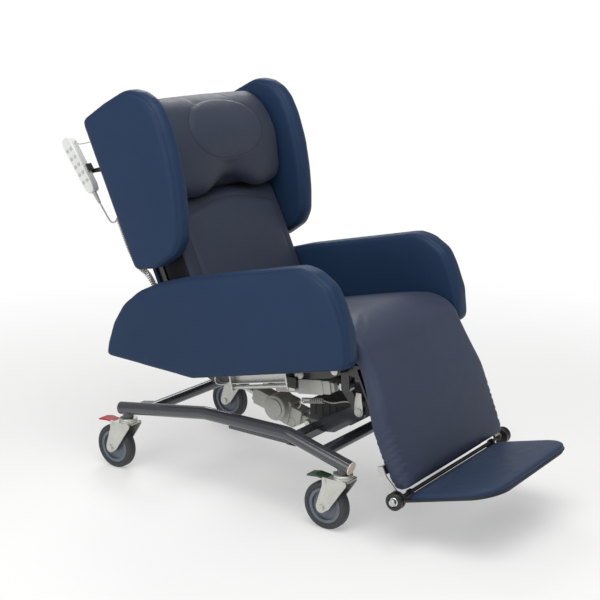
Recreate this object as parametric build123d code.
from build123d import *
import math
import os

# Patient recliner chair, tilt in space, on four braked casters.
# Frame: +Z up, the sitter faces -Y, the sitter's right is -X.
# Origin: on the floor, midway between the four caster swivel axes.
# Lengths in mm, angles in degrees.

# ---- driving dimensions ----
CASTER_X = 254.7          # swivel axis, half track
CASTER_Y = 359.2          # swivel axis, half wheelbase
WHEEL_R = 62.5            # tyre outer radius
WHEEL_W = 30.0            # tyre width
HUB_R = 46.0
TRAIL = 48.0              # swivel axis to wheel axis
RING_TOP = 155.5          # top of the swivel ring
STEM_R = 8.0
TUBE_R = 17.5             # base side tubes
TUBE_WALL = 2.0           # wall of every tube of the base
CROSS_R = 15.0            # round cross tubes of the base
SEAT_PITCH = 12.0         # seat plane at rest
BACK_REST = 24.4          # back from the vertical at rest
FOOT_PITCH = 15.0         # footplate, front end up
ARM_IN, ARM_OUT = 240.0, 305.0  # |x| of the armrests and the wings
CUSHION_HALF = 238.0      # seat cushion
BACK_HALF = CUSHION_HALF - 1    # back cushion and pillow
LEG_HALF = 256.0          # leg cushion below the armrests
LEG_TOP_HALF = 236.0      # leg cushion where it passes between the armrests
FOOT_HALF = 225.0
ROLLER_R = 22.0
RUN = 0.05                # radial running clearance of a pin in its bore
PIN_R = 6.0               # hinge pins
ACT_PIN_R = 5.0           # actuator pins
ROD_R = 9.0               # actuator pistons
FOOT_AXLE_R = 5.0
EAR_T = 4.0               # clevis ears and levers
LUG_X = 138.0             # |x| between the base brackets and the tilt lugs
X_TILT, X_LEG, X_BACK = -75.0, -175.0, 175.0  # actuator mid planes
SIDES = {"right": -1, "left": 1}


# ---- frames: each maps a pair to (y, z) ----
def from_rear(y, z):
    """y from the rear caster line, z from the floor."""
    return (y + CASTER_Y, z)


# pivots
TILT_PIVOT = from_rear(-690.0, 278.0)
BACK_PIVOT = from_rear(-200.0, 360.0)
LEG_PIVOT = from_rear(-676.6, 405.5)
FOOT_AXLE = from_rear(-883.0, 132.0)
# actuator pins: at the housing, at the piston
TILT_PINS = from_rear(-500.0, 195.0), from_rear(-183.0, 269.0)
LEG_PINS = from_rear(-443.0, 319.0), from_rear(-678.0, 351.0)
BACK_PINS = from_rear(-482.0, 327.0), from_rear(-167.0, 298.0)

COS_SEAT, SIN_SEAT = math.cos(math.radians(SEAT_PITCH)), math.sin(math.radians(SEAT_PITCH))
COS_BACK, SIN_BACK = math.cos(math.radians(BACK_REST)), math.sin(math.radians(BACK_REST))
COS_FOOT, SIN_FOOT = math.cos(math.radians(FOOT_PITCH)), math.sin(math.radians(FOOT_PITCH))


def on_seat(ahead, up):
    """Seat plane: forward along the seat, up from it."""
    return from_rear(-ahead * COS_SEAT + up * SIN_SEAT, ahead * SIN_SEAT + up * COS_SEAT)


def on_back(ahead, up):
    """Back plane: forward of the back, up along it."""
    return from_rear(SIN_BACK * up - COS_BACK * ahead, COS_BACK * up + SIN_BACK * ahead)


def on_leg(down, ahead):
    """Leg rest: down the leg from its hinge, forward of the hinge."""
    return (LEG_PIVOT[0] - SIN_BACK * down - COS_BACK * ahead,
            LEG_PIVOT[1] - COS_BACK * down + SIN_BACK * ahead)


def on_foot(ahead, up):
    """Footplate: forward along the plate, up from it, from 14 mm below the axle."""
    return (FOOT_AXLE[0] - COS_FOOT * ahead + SIN_FOOT * up,
            FOOT_AXLE[1] - 14.0 + SIN_FOOT * ahead + COS_FOOT * up)


def level(y, z):
    """The chair frame itself."""
    return (y, z)


def seat_polar(ahead, up):
    """Polar frame about a seat point: radius, degrees up from seat forward."""
    def frame(radius, degrees):
        angle = math.radians(degrees)
        return on_seat(ahead + radius * math.cos(angle), up + radius * math.sin(angle))
    return frame


def along(start, end):
    """Unit direction and distance from start to end in the YZ plane."""
    dy, dz = end[0] - start[0], end[1] - start[1]
    length = math.hypot(dy, dz)
    return Vector(0, dy / length, dz / length), length


def line_frame(start, end):
    """Distance from start towards end, offset to the left seen from +X."""
    direction, _ = along(start, end)

    def frame(ahead, left):
        return (start[0] + direction.Y * ahead - direction.Z * left,
                start[1] + direction.Z * ahead + direction.Y * left)
    return frame


def points(frame, *pairs):
    return [frame(*pair) for pair in pairs]


def rect(frame, a0, a1, b0, b1):
    return points(frame, (a0, b0), (a1, b0), (a1, b1), (a0, b1))


# ---- helpers ----
def rounded(corners, radii):
    """Closed wire in the YZ plane at x = 0 with a radius at each corner."""
    count = len(corners)
    if not isinstance(radii, (list, tuple)):
        radii = [radii] * count
    corners = [Vector(0, y, z) for y, z in corners]
    arcs = []  # start, end, middle of the arc at each corner
    for i in range(count):
        before, corner, after = corners[i - 1], corners[i], corners[(i + 1) % count]
        radius = radii[i]
        to_before, to_after = (before - corner).normalized(), (after - corner).normalized()
        angle = math.acos(max(-1.0, min(1.0, to_before.dot(to_after))))
        if radius <= 0 or angle > math.radians(178):
            arcs.append((corner, corner, None))
            continue
        setback = radius / math.tan(angle / 2)
        # leave some straight on both neighbouring sides
        setback = min(setback, 0.47 * (before - corner).length, 0.47 * (after - corner).length)
        radius = setback * math.tan(angle / 2)
        bisector = (to_before + to_after).normalized()
        centre = corner + bisector * (radius / math.sin(angle / 2))
        arcs.append((corner + to_before * setback, corner + to_after * setback,
                     centre - bisector * radius))
    edges = []
    for i in range(count):
        start, end, middle = arcs[i]
        if middle is not None:
            edges.append(Edge.make_three_point_arc(start, middle, end))
        following = arcs[(i + 1) % count][0]
        if (following - end).length > 1e-4:
            edges.append(Edge.make_line(end, following))
    return Wire(edges)


def slab(corners, x0, x1, radii=0):
    """Outline in the YZ plane extruded from x0 to x1."""
    wire = rounded(corners, radii).moved(Location((x0, 0, 0)))
    return Solid.extrude(Face(wire), Vector(x1 - x0, 0, 0))


def block(frame, a0, a1, b0, b1, x0, x1, radii=0):
    return slab(rect(frame, a0, a1, b0, b1), x0, x1, radii)


def rod_x(centre, x0, x1, radius):
    return Solid.make_cylinder(radius, x1 - x0, Plane(origin=(x0, *centre), z_dir=(1, 0, 0)))


def cyl(origin, direction, length, radius):
    return Solid.make_cylinder(radius, length, Plane(origin=origin, z_dir=direction))


def tube(corners, radius, bend):
    """Round bar through 3D corners, each bent to the same radius."""
    corners = [Vector(*corner) for corner in corners]
    edges, current = [], corners[0]
    for before, corner, after in zip(corners, corners[1:], corners[2:]):
        to_before, to_after = (before - corner).normalized(), (after - corner).normalized()
        angle = math.acos(to_before.dot(to_after))
        setback = bend / math.tan(angle / 2)
        bisector = (to_before + to_after).normalized()
        middle = corner + bisector * (bend / math.sin(angle / 2) - bend)
        start, end = corner + to_before * setback, corner + to_after * setback
        edges.append(Edge.make_line(current, start))
        edges.append(Edge.make_three_point_arc(start, middle, end))
        current = end
    edges.append(Edge.make_line(current, corners[-1]))
    section = Plane(origin=corners[0], z_dir=(corners[1] - corners[0])) * Circle(radius)
    return sweep(section, path=Wire(edges))


def mirrored_wire(half):
    """Wire symmetric in x: the +X half is lines, ending in an arc on its last three points."""
    other = [(-x, y, z) for x, y, z in reversed(half)]
    edges = [Edge.make_line(other[-1], half[0])]
    edges += [Edge.make_line(*ends) for ends in zip(half[:-3], half[1:-2])]
    edges += [Edge.make_three_point_arc(*half[-3:]), Edge.make_line(half[-1], other[0]),
              Edge.make_three_point_arc(*other[:3])]
    edges += [Edge.make_line(*ends) for ends in zip(other[2:-1], other[3:])]
    return Wire(edges)


def fuse(*shapes):
    flat = []
    for shape in shapes:
        flat += shape if isinstance(shape, list) else [shape]
    out = flat[0]
    for shape in flat[1:]:
        out = out + shape
    return out


def soften(shape, radius, keep=None):
    """Round the kept edges with the largest radius that closes."""
    edges = [edge for edge in shape.edges() if keep is None or keep(edge)]
    for factor in (1.0, 0.7, 0.5, 0.3):
        # the kernel raises an error when a fillet of this radius does not close
        try:
            out = shape.fillet(radius * factor, edges)
            if out.is_valid and out.volume > 0:
                return out
        except Exception:
            pass
    return shape


def side_edges(half_width, min_length, min_z=0.0):
    """Edge test: long edges of the two faces at x = +-half_width."""
    return lambda edge: (abs(abs(edge.center().X) - half_width) < 0.5
                         and edge.length > min_length and edge.center().Z > min_z)


def largest(shape):
    return max(shape.solids(), key=lambda solid: solid.volume)


def save(name, shapes):
    solids = []
    for shape in shapes if isinstance(shapes, list) else [shapes]:
        solids += list(shape.solids())
    body = solids[0] if len(solids) == 1 else Compound(children=solids)
    body.label = name
    export_step(body, f"parts/{name}.step")


def both(build):
    """The same piece on each side: build(side) makes one."""
    return [build(-1), build(1)]


def span(side, near, far):
    """The x range at |x| from near to far on one side."""
    return (near, far) if side > 0 else (-far, -near)


def slab_pair(corners, near, far, radii=0):
    return both(lambda side: slab(corners, *span(side, near, far), radii))


def ear_pair(corners, x_mid, reach, radii, thick=EAR_T):
    """Two plates whose outer faces lie reach to each side of x_mid."""
    return [slab(corners, x0, x0 + thick, radii) for x0 in (x_mid - reach, x_mid + reach - thick)]


def lever(pivot, pin, x_mid, half):
    """Two flat bars from a hinge to an actuator's piston pin."""
    _, length = along(pivot, pin)
    corners = rect(line_frame(pivot, pin), -half, length + 13, -half, half)
    return ear_pair(corners, x_mid, 14, half - 1)


def clevis_pin(centre, x_mid, reach):
    """Actuator pin with a head at each end."""
    return (rod_x(centre, x_mid - reach, x_mid + reach, ACT_PIN_R)
            + rod_x(centre, x_mid - reach - 4, x_mid - reach, 8)
            + rod_x(centre, x_mid + reach, x_mid + reach + 4, 8))


def bore_hinge(frame, pivot, inner, outer, bore):
    """Pin bores at both ends of a hinge tube, and a wider bore between them."""
    return (frame - rod_x(pivot, -outer, -inner, PIN_R + RUN)
            - rod_x(pivot, inner, outer, PIN_R + RUN)
            - rod_x(pivot, -inner - 0.1, inner + 0.1, bore))


# ---- base ----
SIDE_TUBE = points(from_rear, (25, 178), (-280, 224), (-550, 224), (-740, 174))
REAR_CROSS, FRONT_CROSS = from_rear(-75, 193), from_rear(-655, 196.5)
MID_CROSS = from_rear(-560, 207)
MID_HALF_Y, MID_HALF_Z = 17, 13
BASE_EAR_REACH = 22


def base_members(inset):
    """Side tubes, round cross tubes and rectangular middle bar, shrunk by inset."""
    members = both(lambda side: tube([(side * CASTER_X, y, z) for y, z in SIDE_TUBE],
                                     TUBE_R - inset, 70))
    members += [rod_x(centre, -CASTER_X, CASTER_X, CROSS_R - inset)
                for centre in (REAR_CROSS, FRONT_CROSS)]
    y, z = MID_CROSS
    half_y, half_z = MID_HALF_Y - inset, MID_HALF_Z - inset
    members.append(block(level, y - half_y, y + half_y, z - half_z, z + half_z,
                         -CASTER_X, CASTER_X, 5 - inset))
    return members


def base_frame():
    # flat strips under the side tubes
    strips = slab_pair(points(from_rear, (-365, 201), (-560, 199.5), (-560, 204.5),
                              (-545, 208), (-365, 208)), CASTER_X - 8, CASTER_X + 8)
    sockets = [cyl((side * CASTER_X, y, RING_TOP + 1), (0, 0, 1), top - RING_TOP, 15)
               for side in (-1, 1) for y, top in ((CASTER_Y, 178), (-CASTER_Y, 176))]
    # brackets from the middle bar forward to the tilt pivot
    brackets = slab_pair(points(from_rear, (-548, 196), (-612, 205), (-703, 263), (-703, 291),
                                (-680, 294), (-600, 250), (-545, 219)),
                         LUG_X - 6, LUG_X - 1, [2, 14, 12, 12, 12, 20, 2])
    tilt_ears = ear_pair(points(from_rear, (-548, 196), (-498, 181), (-486, 195),
                                (-500, 209), (-548, 219)),
                         X_TILT, BASE_EAR_REACH, [1, 12, 12, 10, 1])
    rear_plates = slab_pair(points(from_rear, (-62, 184), (-30, 172), (-20, 196), (-62, 204)),
                            CASTER_X - TUBE_R - 24, CASTER_X - 8, 2)
    frame = fuse(base_members(0), strips, sockets, brackets, tilt_ears, rear_plates)
    for hollow in base_members(TUBE_WALL):
        frame = frame - hollow
    for x in (-CASTER_X, CASTER_X):
        for y in (CASTER_Y, -CASTER_Y):
            frame = frame - cyl((x, y, RING_TOP), (0, 0, 1), 22, STEM_R + RUN)
    frame = frame - rod_x(TILT_PIVOT, -LUG_X, LUG_X, PIN_R)
    return frame - rod_x(TILT_PINS[0], X_TILT - 30, X_TILT + 30, ACT_PIN_R)


def tube_plug(side, end, inner):
    """Plug closing one end of a side tube; inner is the next corner of the tube."""
    direction, _ = along(inner, end)
    centre = Vector(side * CASTER_X, *end)
    cap = soften(cyl(centre, direction, 3.0, TUBE_R), 2.0,
                 lambda edge: (edge.geom_type == GeomType.CIRCLE
                               and (edge.center() - centre).length > 2))
    return cap + cyl(centre - direction * 9, direction, 9.5, TUBE_R - TUBE_WALL - 0.2)


def base_hinge_pins():
    pins = both(lambda side: rod_x(TILT_PIVOT, *span(side, LUG_X - 6, LUG_X + 7), PIN_R)
                + rod_x(TILT_PIVOT, *span(side, LUG_X - 11, LUG_X - 6), 10)
                + rod_x(TILT_PIVOT, *span(side, LUG_X + 7, LUG_X + 11), 10))
    return pins + [clevis_pin(TILT_PINS[0], X_TILT, BASE_EAR_REACH)]


def battery_box():
    """Battery and control housing on the middle bar."""
    box = slab(points(from_rear, (-522, 220.0), (-532, 220.0), (-655, 226), (-655, 284),
                      (-522, 276)), -118, 60, [0, 2, 8, 8, 8])
    y, z = MID_CROSS
    gap = 0.2
    box = box.cut(block(level, y - MID_HALF_Y - gap, y + MID_HALF_Y + gap,
                        200, z + MID_HALF_Z + gap, -130, 70))
    ribs = [block(from_rear, -535 - 22 * i, -541 - 22 * i, 235, 268, -119.5, -118)
            for i in range(5)]
    # lip behind the middle bar
    lip = block(from_rear, -532, -542.9, 214, 221, -40, 20)
    return fuse(box, ribs, lip)


save("base_frame", base_frame())
save("base_tube_plugs", [tube_plug(side, end, inner) for side in (-1, 1)
                         for end, inner in (SIDE_TUBE[:2], SIDE_TUBE[:-3:-1])])
save("base_hinge_pins", base_hinge_pins())
save("battery_box", battery_box())

# ---- casters: built with the swivel axis on Z and the wheel trailing to +Y ----
WHEEL_AXLE = (TRAIL, WHEEL_R)
AXLE_R = 5.0
PEDAL_PIN = (38, 135.5)
PEDAL_PIN_R = 3.0
FORK_HALF = 26.2
FORK_PLATE = 3.2
# fork cheek (y, z) and its corner radii
CHEEK = [(-24, 144), (-24, 134), (26, 62), (48, 47), (62, 52), (64, 66), (46, 122), (46, 144)]
CHEEK_RADII = [3, 6, 12, 14, 12, 14, 14, 3]


def caster_fork():
    """Fork with its swivel ring and stem, the axle bolt and the pedal pin."""
    cheeks = ear_pair(CHEEK, 0, FORK_HALF, CHEEK_RADII, thick=FORK_PLATE)
    top = block(level, -27, 33, 140, 144, -FORK_HALF, FORK_HALF, 1)
    # notch the two front corners
    top = top.cut(*[Solid.make_box(12, 12, 10, Plane(origin=(x, -30, 137))) for x in (-30, 18)])
    ring = soften(cyl((0, 0, 144), (0, 0, 1), RING_TOP - 144, 25), 2.5,
                  lambda edge: abs(edge.center().Z - RING_TOP) < 0.1)
    groove = cyl((0, 0, 149), (0, 0, 1), 2.2, 27) - cyl((0, 0, 148), (0, 0, 1), 5, 23.5)
    stem = cyl((0, 0, RING_TOP - 1), (0, 0, 1), 17.5, STEM_R)
    fork = fuse(cheeks, top, ring, stem) - groove
    fork = fork - rod_x(WHEEL_AXLE, -40, 40, AXLE_R)
    fork = fork - rod_x(PEDAL_PIN, -40, 40, PEDAL_PIN_R)
    bolt = (rod_x(WHEEL_AXLE, -FORK_HALF, FORK_HALF, AXLE_R)
            + rod_x(WHEEL_AXLE, -30.5, -FORK_HALF, 8.0)
            + rod_x(WHEEL_AXLE, FORK_HALF, 30.5, 8.5))
    pin = (rod_x(PEDAL_PIN, -FORK_HALF, FORK_HALF, PEDAL_PIN_R)
           + rod_x(PEDAL_PIN, -28, -FORK_HALF, 4.5) + rod_x(PEDAL_PIN, FORK_HALF, 28, 4.5))
    return [fork, bolt, pin]


def caster_hub():
    """Web with a raised rim and a boss, bored for the axle bolt."""
    hub = rod_x(WHEEL_AXLE, -12, 12, HUB_R)
    for x0, x1 in ((-12.1, -5), (5, 12.1)):
        hub = hub - (rod_x(WHEEL_AXLE, x0, x1, 38) - rod_x(WHEEL_AXLE, x0 - 1, x1 + 1, 15))
    hub = hub + rod_x(WHEEL_AXLE, -21.5, 21.5, 11)
    return hub - rod_x(WHEEL_AXLE, -30, 30, AXLE_R + RUN)


def caster_tyre():
    half = WHEEL_W / 2
    # x, radius from the wheel axis; the last three lie on the shoulder arc
    profile = [(12, HUB_R), (half, HUB_R + 3), (half, WHEEL_R - 7),
               (half - 3.2, WHEEL_R - 1.9), (half - 8, WHEEL_R)]
    wire = mirrored_wire([(x, TRAIL, WHEEL_R + radius) for x, radius in profile])
    return Solid.revolve(Face(wire), 360, Axis((0, *WHEEL_AXLE), (1, 0, 0)))


def brake_pedal():
    """Lever on a cross pin between the fork cheeks."""
    tongue = slab([(46, 133.9), (68, 136), (98, 132.5), (100, 136.5), (76, 141.5), (46, 139)],
                  -16, 16, [0, 6, 1, 1.5, 6, 0])
    boss = rod_x(PEDAL_PIN, -17, 17, 4.2)
    neck = slab([(38, 131.7), (48, 134.1), (48, 139.1), (38, 139.1)], -13, 13)
    return fuse(boss, neck, tongue) - rod_x(PEDAL_PIN, -40, 40, PEDAL_PIN_R + RUN)


CASTER_PARTS = {"fork": caster_fork(), "hub": [caster_hub()], "tyre": [caster_tyre()],
                "brake_pedal": [brake_pedal()]}
for row, caster_y in (("rear", CASTER_Y), ("front", -CASTER_Y)):
    for side_name, side in SIDES.items():
        place = Location((side * CASTER_X, caster_y, 0))
        for part, shapes in CASTER_PARTS.items():
            save(f"{row}_{side_name}_{part}", [shape.moved(place) for shape in shapes])

# ---- seat ----
SEAT_EAR_REACH = 23       # ears of the leg rest and back actuators


def seat_channel(side):
    """Side channel, open towards the middle of the chair."""
    outer = slab(points(on_seat, (350, 238), (730, 238), (762, 246), (762, 268), (748, 277.5),
                        (318, 277.5), (318, 262)),
                 *span(side, 207, 233), [14, 20, 8, 8, 4, 4, 4])
    return outer.cut(slab(points(on_seat, (356, 240.5), (722, 240.5), (722, 275), (322, 275),
                                 (322, 264)), *span(side, 206, 230.5)))


def seat_frame():
    parts = both(seat_channel)
    # cross bars: ahead from, to, up from, to, corner radius
    for a0, a1, b0, b1, radius in ((326, 352, 270, 277.3, 2), (487, 512, 250, 270, 3),
                                   (655, 680, 255, 276, 3)):
        parts.append(block(on_seat, a0, a1, b0, b1, -231, 231, radius))
    # teardrop tilt lugs under the front of the seat
    y, z = TILT_PIVOT
    parts += slab_pair([(y - 13, z - 2), (y, z - 13), (y + 13, z - 1),
                        *points(on_seat, (650, 264), (692, 264))],
                       LUG_X + 0.5, LUG_X + 5.5, [12, 12, 12, 3, 3])
    # uprights from the side channels to the recline pivot
    parts += slab_pair(points(on_seat, (324, 257), (362, 257), (288, 318), (270.5, 326),
                              (254, 318), (256, 300)), 228, 233, [8, 6, 14, 14, 14, 10])
    # clevis ears of the leg rest, back and tilt actuators
    parts += ear_pair(points(on_seat, (486, 256), (513, 256), (513, 214), (500, 206), (486, 214)),
                      X_LEG, SEAT_EAR_REACH, [0, 0, 10, 10, 10])
    parts += ear_pair(points(on_seat, (506, 254), (506, 266), (554, 238), (554, 212),
                             (540, 205.5), (526, 212), (519, 238)),
                      X_BACK, SEAT_EAR_REACH, [0, 0, 10, 10, 10, 8, 4])
    parts += ear_pair(points(on_seat, (508, 252), (508, 268), (300, 258), (240, 238), (222, 227),
                             (232, 212), (250, 216), (310, 236)),
                      X_TILT, 18, [0, 0, 30, 20, 8, 10, 10, 30])
    frame = fuse(parts)
    frame = frame - rod_x(TILT_PIVOT, -LUG_X - 10, LUG_X + 10, PIN_R + RUN)
    frame = frame - rod_x(LEG_PIVOT, -240, 240, PIN_R) - rod_x(BACK_PIVOT, -240, 240, PIN_R)
    for (pin, _), x in ((LEG_PINS, X_LEG), (BACK_PINS, X_BACK)):
        frame = frame - rod_x(pin, x - 30, x + 30, ACT_PIN_R)
    return frame


def armrest_carrier(side):
    """Rod, an open channel above it, end plates and a block at the front."""
    rod = cyl((side * 242.5, *on_seat(414, 225.5)), (0, -COS_SEAT, SIN_SEAT), 206, 5.5)
    channel = block(on_seat, 428, 606, 236, 273.5, *span(side, 233.05, 252), 1)
    channel = channel.cut(block(on_seat, 427, 608, 238, 271.5, *span(side, 235.5, 253)))
    plates = [block(on_seat, ahead, ahead + 5, 218, 274, *span(side, 234.5, 253), 1)
              for ahead in (422, 604)]
    front = block(on_seat, 611, 630, 214, 236, *span(side, 234.5, 253), 3)
    return fuse(rod, channel, plates, front)


def seat_cushion():
    """Cushion whose rear end is hollowed around the recline pivot."""
    cushion = slab(points(on_seat, (372, 290), (739, 290), (739, 366), (600, 371), (352, 370)),
                   -CUSHION_HALF, CUSHION_HALF, [2, 4, 3, 60, 8])
    cushion = cushion - rod_x(BACK_PIVOT, -260, 260, 116.5)
    # trim the thin tip left above the hollow
    cushion = cushion - slab(points(on_seat, (355, 347.7), (382, 371), (382, 390), (350, 390)),
                             -260, 260)
    return soften(largest(cushion), 10, side_edges(CUSHION_HALF, 150, min_z=400))


def seat_hinge_pins():
    pins = []
    # pivot, |x| of the inner end, of the head's inner face
    for pivot, inner, head in ((LEG_PIVOT, 190, 233.5), (BACK_PIVOT, 212, 233)):
        pins += both(lambda side: rod_x(pivot, *span(side, inner, head), PIN_R)
                     + rod_x(pivot, *span(side, head, 236.5), 10))
    return pins + [clevis_pin(LEG_PINS[0], X_LEG, SEAT_EAR_REACH),
                   clevis_pin(BACK_PINS[0], X_BACK, SEAT_EAR_REACH)]


save("seat_frame", seat_frame())
save("armrest_carriers", both(armrest_carrier))
save("seat_board", block(on_seat, 396, 736, 278, 289.5, -234, 234, 2))
save("seat_cushion", seat_cushion())
save("seat_hinge_pins", seat_hinge_pins())
save("control_box", block(on_seat, 470, 600, 210, 249.9, -30, 108, [8, 8, 3, 3]))

# ---- armrests ----
# side outline in the seat frame (ahead, up) and its corner radii
ARM_OUTLINE = points(
    on_seat, (334, 262), (833, 268), (842, 360), (834, 427), (822, 472), (781, 509), (740, 528),
    (373, 529), (267, 522), (200, 507), (138, 477), (93, 434), (54, 373), (41, 338))
ARM_RADII = [12, 5, 60, 60, 40, 45, 60, 200, 120, 90, 80, 80, 30, 8]


def armrest(side):
    arm = soften(slab(ARM_OUTLINE, *span(side, ARM_IN, ARM_OUT), ARM_RADII), 9)
    # pocket over the carrier
    arm = arm - slab(points(on_seat, (-20, 240), (900, 240), (900, 275), (320, 275), (-20, 357)),
                     *span(side, ARM_IN - 5, 256))
    return largest(arm)


for side_name, side in SIDES.items():
    save(f"armrest_{side_name}", armrest(side))


# ---- actuators ----
def actuator(name, pins, x, motor, body_length, width, height, eye_half, rod_start, bore_start):
    """Housing and piston; lengths run from the housing pin towards the piston pin."""
    housing_pin, piston_pin = pins
    frame = line_frame(*pins)
    direction, length = along(*pins)
    half_w, half_h = width / 2, height / 2
    body = fuse(rod_x(housing_pin, x - 13, x + 13, 13),
                block(frame, 0, 34, -9, 9, x - 12, x + 12),
                block(frame, 26, body_length, -half_h, half_h, x - half_w, x + half_w, 5),
                block(frame, body_length - 1, body_length + 9, -half_h + 5, half_h - 5,
                      x - half_w + 5, x + half_w - 5, 4),
                motor)
    body = body - cyl(Vector(x, *frame(bore_start, 0)), direction, length, ROD_R + RUN)
    body = body - rod_x(housing_pin, x - 40, x + 40, ACT_PIN_R + RUN)
    save(f"{name}_actuator_housing", body)
    rod = cyl(Vector(x, *frame(rod_start, 0)), direction, length - rod_start - 4, ROD_R)
    eye = rod_x(piston_pin, x - eye_half, x + eye_half, 12.5)
    eye = eye + block(frame, length - 20, length, -8.5, 8.5, x - eye_half, x + eye_half)
    save(f"{name}_actuator_piston", rod + eye)


# tilt: round motor cover on the sitter's right side, and a gearbox block
tilt_frame = line_frame(*TILT_PINS)
motor_axis = tilt_frame(97, 9)
tilt_motor = [soften(rod_x(motor_axis, X_TILT - 48, X_TILT + 10, 35), 4),
              rod_x(motor_axis, X_TILT - 52, X_TILT - 47, 26),
              block(tilt_frame, 60, 120, -30, 34, X_TILT - 26, X_TILT + 20, 6),
              block(tilt_frame, 40, 80, -34, -10, X_TILT - 22, X_TILT + 14, 6)]
actuator("tilt", TILT_PINS, X_TILT, tilt_motor, body_length=184, width=42, height=42,
         eye_half=12, rod_start=64, bore_start=38)
# leg rest: a thicker front part, and a motor block on the inner side
leg_axis = line_frame(*LEG_PINS)
leg_motor = [block(leg_axis, 96, 176, -19, 19, X_LEG - 25, X_LEG + 25, 5),
             block(leg_axis, 34, 92, -15, 15, X_LEG + 18, X_LEG + 52, 8)]
actuator("leg_rest", LEG_PINS, X_LEG, leg_motor, body_length=198, width=46, height=34,
         eye_half=9, rod_start=60, bore_start=54)
# back: motor block on the inner side
back_motor = [block(line_frame(*BACK_PINS), 44, 104, -14, 14, X_BACK - 52, X_BACK - 18, 8)]
actuator("back", BACK_PINS, X_BACK, back_motor, body_length=170, width=44, height=34,
         eye_half=9, rod_start=97, bore_start=31)


# ---- back ----
def back_upright(side):
    upright = block(on_back, 334, 352, 300, 915, *span(side, 205, 226.5), 3)
    foot = slab(points(on_back, (322, 236), (345, 236), (352, 262), (352, 330), (334, 330),
                       (320, 262)), *span(side, 216, 226.5), [9, 9, 6, 3, 3, 6])
    return fuse(upright, foot)


def back_frame():
    parts = both(back_upright)
    for up in (318, 480, 640, 885):
        parts.append(block(on_back, 335, 351, up, up + 26, -215, 215, 2))
    parts += lever(BACK_PIVOT, BACK_PINS[1], X_BACK, 13)
    # torque tube on the recline axis carries the actuator lever
    parts.append(rod_x(BACK_PIVOT, -226.5, 226.5, 11))
    for up in (560, 840):  # wing brackets
        parts += slab_pair(rect(on_back, 336, 350, up, up + 40), 222, 239.9, 2)
    return bore_hinge(fuse(parts), BACK_PIVOT, 205, 232, 8)


def back_rear_cover():
    shell = block(on_back, 319, 333.5, 336, 926, -236, 236, [4, 1, 1, 6])
    return shell.cut(block(on_back, 323, 334, 342, 920, -231, 231))


def back_cushion():
    """Upright slab whose foot curls under the recline pivot."""
    around_pivot = seat_polar(270.5, 310.5)
    corners = points(around_pivot, (60, -10), (112.5, -10), (112.5, 4), (112.5, 18), (112.5, 31))
    corners += points(on_back, (440, 330), (446, 450), (444, 630), (432, 663), (362, 664),
                      (354, 640), (354, 300))
    corners.append(around_pivot(62, 30))
    cushion = slab(corners, -BACK_HALF, BACK_HALF, [6, 6, 0, 0, 10, 60, 200, 40, 16, 4, 0, 10, 10])
    return soften(cushion, 9, side_edges(BACK_HALF, 60))


def headrest_pillow():
    corners = points(on_back, (356, 668), (449, 668), (451, 642), (464, 640), (484, 668),
                     (516, 735), (526, 783), (519, 860), (497, 900), (460, 922), (356, 916))
    return soften(slab(corners, -BACK_HALF, BACK_HALF,
                       [8, 8, 5, 8, 40, 60, 120, 80, 40, 30, 8]), 12)


# side outline in the back frame (ahead, up) and its corner radii
WING_OUTLINE = points(
    on_back, (322, 503), (396, 484), (478, 497), (512, 523), (538, 580), (560, 642), (580, 722),
    (588, 802), (585, 855), (572, 888), (549, 915), (505, 938), (414, 933), (322, 924))
WING_RADII = [10, 60, 50, 40, 120, 200, 200, 120, 50, 40, 40, 50, 80, 14]

save("back_frame", back_frame())
save("back_rear_cover", back_rear_cover())
save("back_cushion", back_cushion())
save("headrest_pillow", headrest_pillow())
for side_name, side in SIDES.items():
    wing = slab(WING_OUTLINE, *span(side, ARM_IN, ARM_OUT), WING_RADII)
    save(f"wing_{side_name}", soften(wing, 18))

# ---- handset, behind the back on the sitter's right, buttons facing -X ----
HANDSET_X = -200.0
HANDSET_L = 168.0
HANDSET_ENDS = from_rear(156, 771), from_rear(243.5, 897)  # bottom, top of its axis
on_handset = line_frame(*HANDSET_ENDS)  # up along the handset, across towards the front
BUTTONS = points(on_handset, *[(30.0 + 25.0 * i, across) for i in range(5)
                               for across in (-8.0, 8.0)])
BUTTON_R = 5.2
BUTTON_FACE = HANDSET_X - 13.7


def handset_body():
    corners = points(on_handset, (-6, -12), (-6, 12), (14, 17), (HANDSET_L - 22, 19),
                     (HANDSET_L - 4, 14), (HANDSET_L, 0), (HANDSET_L - 4, -14),
                     (HANDSET_L - 22, -19), (14, -17))
    body = slab(corners, HANDSET_X - 12.5, HANDSET_X + 12.5, [10, 10, 30, 30, 14, 30, 14, 30, 30])
    body = soften(body, 4)
    for centre in BUTTONS:
        body = body - rod_x(centre, HANDSET_X - 14, HANDSET_X - 8.5, BUTTON_R + 0.1)
    return body


def button(centre):
    return soften(rod_x(centre, BUTTON_FACE, HANDSET_X - 10.0, BUTTON_R), 0.8,
                  lambda edge: abs(edge.center().X - BUTTON_FACE) < 0.05)


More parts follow.
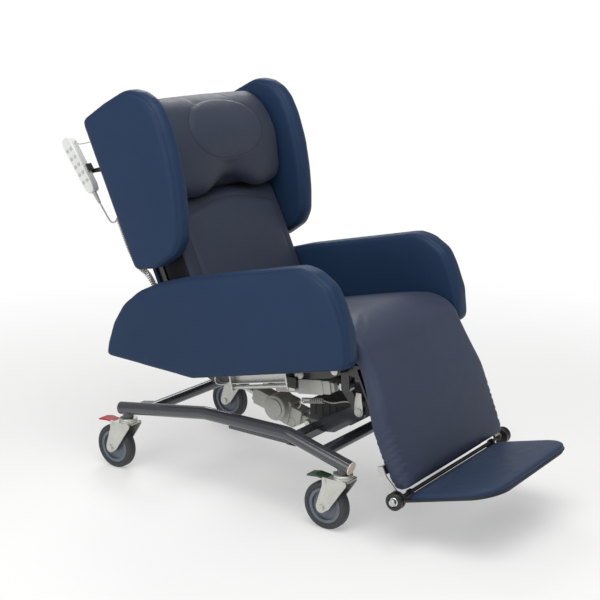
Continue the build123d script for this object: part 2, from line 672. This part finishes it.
def handset_holder():
    """Clip on the inner face of the handset and an arm to the rear of the back."""
    x_in, x_out = HANDSET_X + 12.6, HANDSET_X + 17
    clip = block(on_handset, 44, 78, -16, 16, x_in, x_out, 4)
    lips = [block(on_handset, 50, 72, m0, m1, HANDSET_X - 2, x_out, 1)
            for m0, m1 in ((-24, -19.3), (19.3, 24))]
    webs = [block(on_handset, 50, 72, m0, m1, x_in, x_out, 1)
            for m0, m1 in ((-24, -12), (12, 24))]
    arm = slab(points(on_handset, (56, -10), (66, -10))
               + points(on_back, (318.9, 800), (318.9, 780)), HANDSET_X + 16, HANDSET_X + 20, 1)
    foot = block(on_back, 313, 318.9, 766, 816, HANDSET_X - 4, HANDSET_X + 36, 1)
    return fuse(clip, lips, webs, arm, foot)


def handset_cable():
    """Strain relief, a free loop, then the thick coiled run down behind the wing."""
    up, _ = along(*HANDSET_ENDS)
    relief = cyl(Vector(HANDSET_X, *on_handset(-6.0, 0)), -up, 34, 6.5)
    loop = [(HANDSET_X, *on_handset(-38, 0)), (HANDSET_X - 10, *from_rear(102, 713)),
            (HANDSET_X - 38, *from_rear(56, 699)), (HANDSET_X - 62, *from_rear(17, 706)),
            (HANDSET_X - 70, *from_rear(2, 717))]
    spline = Edge.make_spline([Vector(*point) for point in loop])
    lead = sweep(Plane(origin=loop[0], z_dir=spline % 0) * Circle(2.6), path=Wire([spline]))
    # the lower end turns in between the armrests
    coil = tube([(HANDSET_X - 70, *on_back(296, 657)), (HANDSET_X - 70, *on_back(296, 521)),
                 (HANDSET_X - 26, *on_back(298, 489)), (HANDSET_X - 22, *on_back(302, 396))],
                8.5, 16)
    return fuse(relief, lead, coil)


save("handset_body", handset_body())
for number, centre in enumerate(BUTTONS, 1):
    save(f"button_{number}", button(centre))
save("handset_holder", handset_holder())
save("handset_cable", handset_cable())


# ---- leg rest ----
def leg_frame():
    parts = [rod_x(LEG_PIVOT, -203, 203, 12)]
    parts += slab_pair(points(on_leg, (-9, -8), (9, -9), (40, 40), (300, 42), (300, 60), (12, 60),
                              (-6, 12)), 188, 202, [6, 6, 10, 3, 3, 12, 8])
    for down in (90, 180):
        parts.append(block(on_leg, down, down + 24, 44, 60, -200, 200, 2))
    parts.append(block(on_leg, 250, 272, 44, 60, -263.5, 263.5, 2))
    # board behind the leg cushion
    parts.append(block(on_leg, 14, 284, 58.5, 63.5, -232, 232, 1))
    parts += lever(LEG_PIVOT, LEG_PINS[1], X_LEG, 12)
    # side plates down to the foot axle
    y, z = FOOT_AXLE
    parts += slab_pair(points(on_leg, (246, 44), (250, 62), (276, 62))
                       + [(y - 9, z + 4), (y - 2, z - 9), (y + 8, z - 3)],
                       259.2, 263.5, [3, 6, 6, 8, 8, 8])
    parts.append(rod_x(FOOT_AXLE, -291, 291, FOOT_AXLE_R))
    parts += both(lambda side: soften(rod_x(FOOT_AXLE, *span(side, 291, 296), 8.5), 1.5))
    return bore_hinge(fuse(parts), LEG_PIVOT, 185, 206, 9)


def leg_cushion():
    top = slab(points(on_leg, (3, 64), (120, 64), (120, 112), (60, 112), (3, 107)),
               -LEG_TOP_HALF, LEG_TOP_HALF, [2, 0, 0, 60, 4])
    low = slab(points(on_leg, (114, 64), (272, 64), (292, 70), (314, 96), (306, 108), (200, 111),
                      (114, 112)), -LEG_HALF, LEG_HALF, [2, 10, 20, 12, 14, 60, 2])
    return fuse(top, soften(low, 14, side_edges(LEG_HALF, 30)))


def knee_foam():
    """Sector around the leg hinge, between the seat and the leg cushion."""
    corners = points(seat_polar(745.6, 256.0), (66, 93), (66, 70), (66, 45), (66, 25), (66, 14),
                     (107, 14), (113, 28), (115, 45), (114, 62), (111.5, 80), (110.5, 92.2))
    return slab(corners, -CUSHION_HALF + 2, CUSHION_HALF - 2,
                [0, 40, 40, 40, 0, 0, 60, 60, 60, 60, 0])


save("leg_frame", leg_frame())
save("leg_cushion", leg_cushion())
save("knee_foam", knee_foam())


# ---- footplate ----
def plate(x_half, rear, front, bottom, top, corner):
    """Plate in the footplate frame, tapering forward to two rounded front corners."""
    x_front = x_half - 6
    bulge = corner * (1 - math.cos(math.radians(45)))
    wire = mirrored_wire([(x_half, rear, 0), (x_front, front - corner, 0),
                          (x_front - bulge, front - bulge, 0), (x_front - corner, front, 0)])
    solid = Solid.extrude(Face(wire), Vector(0, 0, top - bottom))
    # local y runs forward and up, local z is the plate normal
    return solid.moved(Location(Plane(origin=(0, *on_foot(0, bottom)), x_dir=(-1, 0, 0),
                                      z_dir=(0, SIN_FOOT, COS_FOOT))))


def footplate_board():
    board = plate(FOOT_HALF - 4, -18, 236, -10, -3, 76)
    y, z = FOOT_AXLE
    lugs = slab_pair(points(on_foot, (-12, -4), (16, -4))
                     + [(y - 9, z + 5), (y, z + 10), (y + 9, z + 4)], 208, 216, [0, 0, 8, 8, 8])
    return fuse(board, lugs) - rod_x(FOOT_AXLE, -300, 300, FOOT_AXLE_R + RUN)


def footplate_pad():
    pad = plate(FOOT_HALF, 12, 240, -2.9, 12, 80)
    # notches around the board's lugs
    for notch in slab_pair(rect(on_foot, 5, 24, -4, 20), 206, 218):
        pad = pad - notch
    return soften(pad, 4, lambda edge: edge.length > 120)


def foot_roller(side):
    def disc(near, far, radius):
        return rod_x(FOOT_AXLE, *span(side, near, far), radius)

    roller = soften(disc(265.0, 289.5, ROLLER_R), 3)
    # groove around the tread, then the recess in the outer face with its boss
    roller = roller - (disc(275.5, 279.5, ROLLER_R + 3) - disc(275, 280, 14))
    return (roller - disc(285.5, 290, 13) + disc(285, 288, 7.5)
            - disc(260, 295, FOOT_AXLE_R + RUN))


save("footplate_board", footplate_board())
save("footplate_pad", footplate_pad())
for side_name, side in SIDES.items():
    save(f"foot_roller_{side_name}", foot_roller(side))
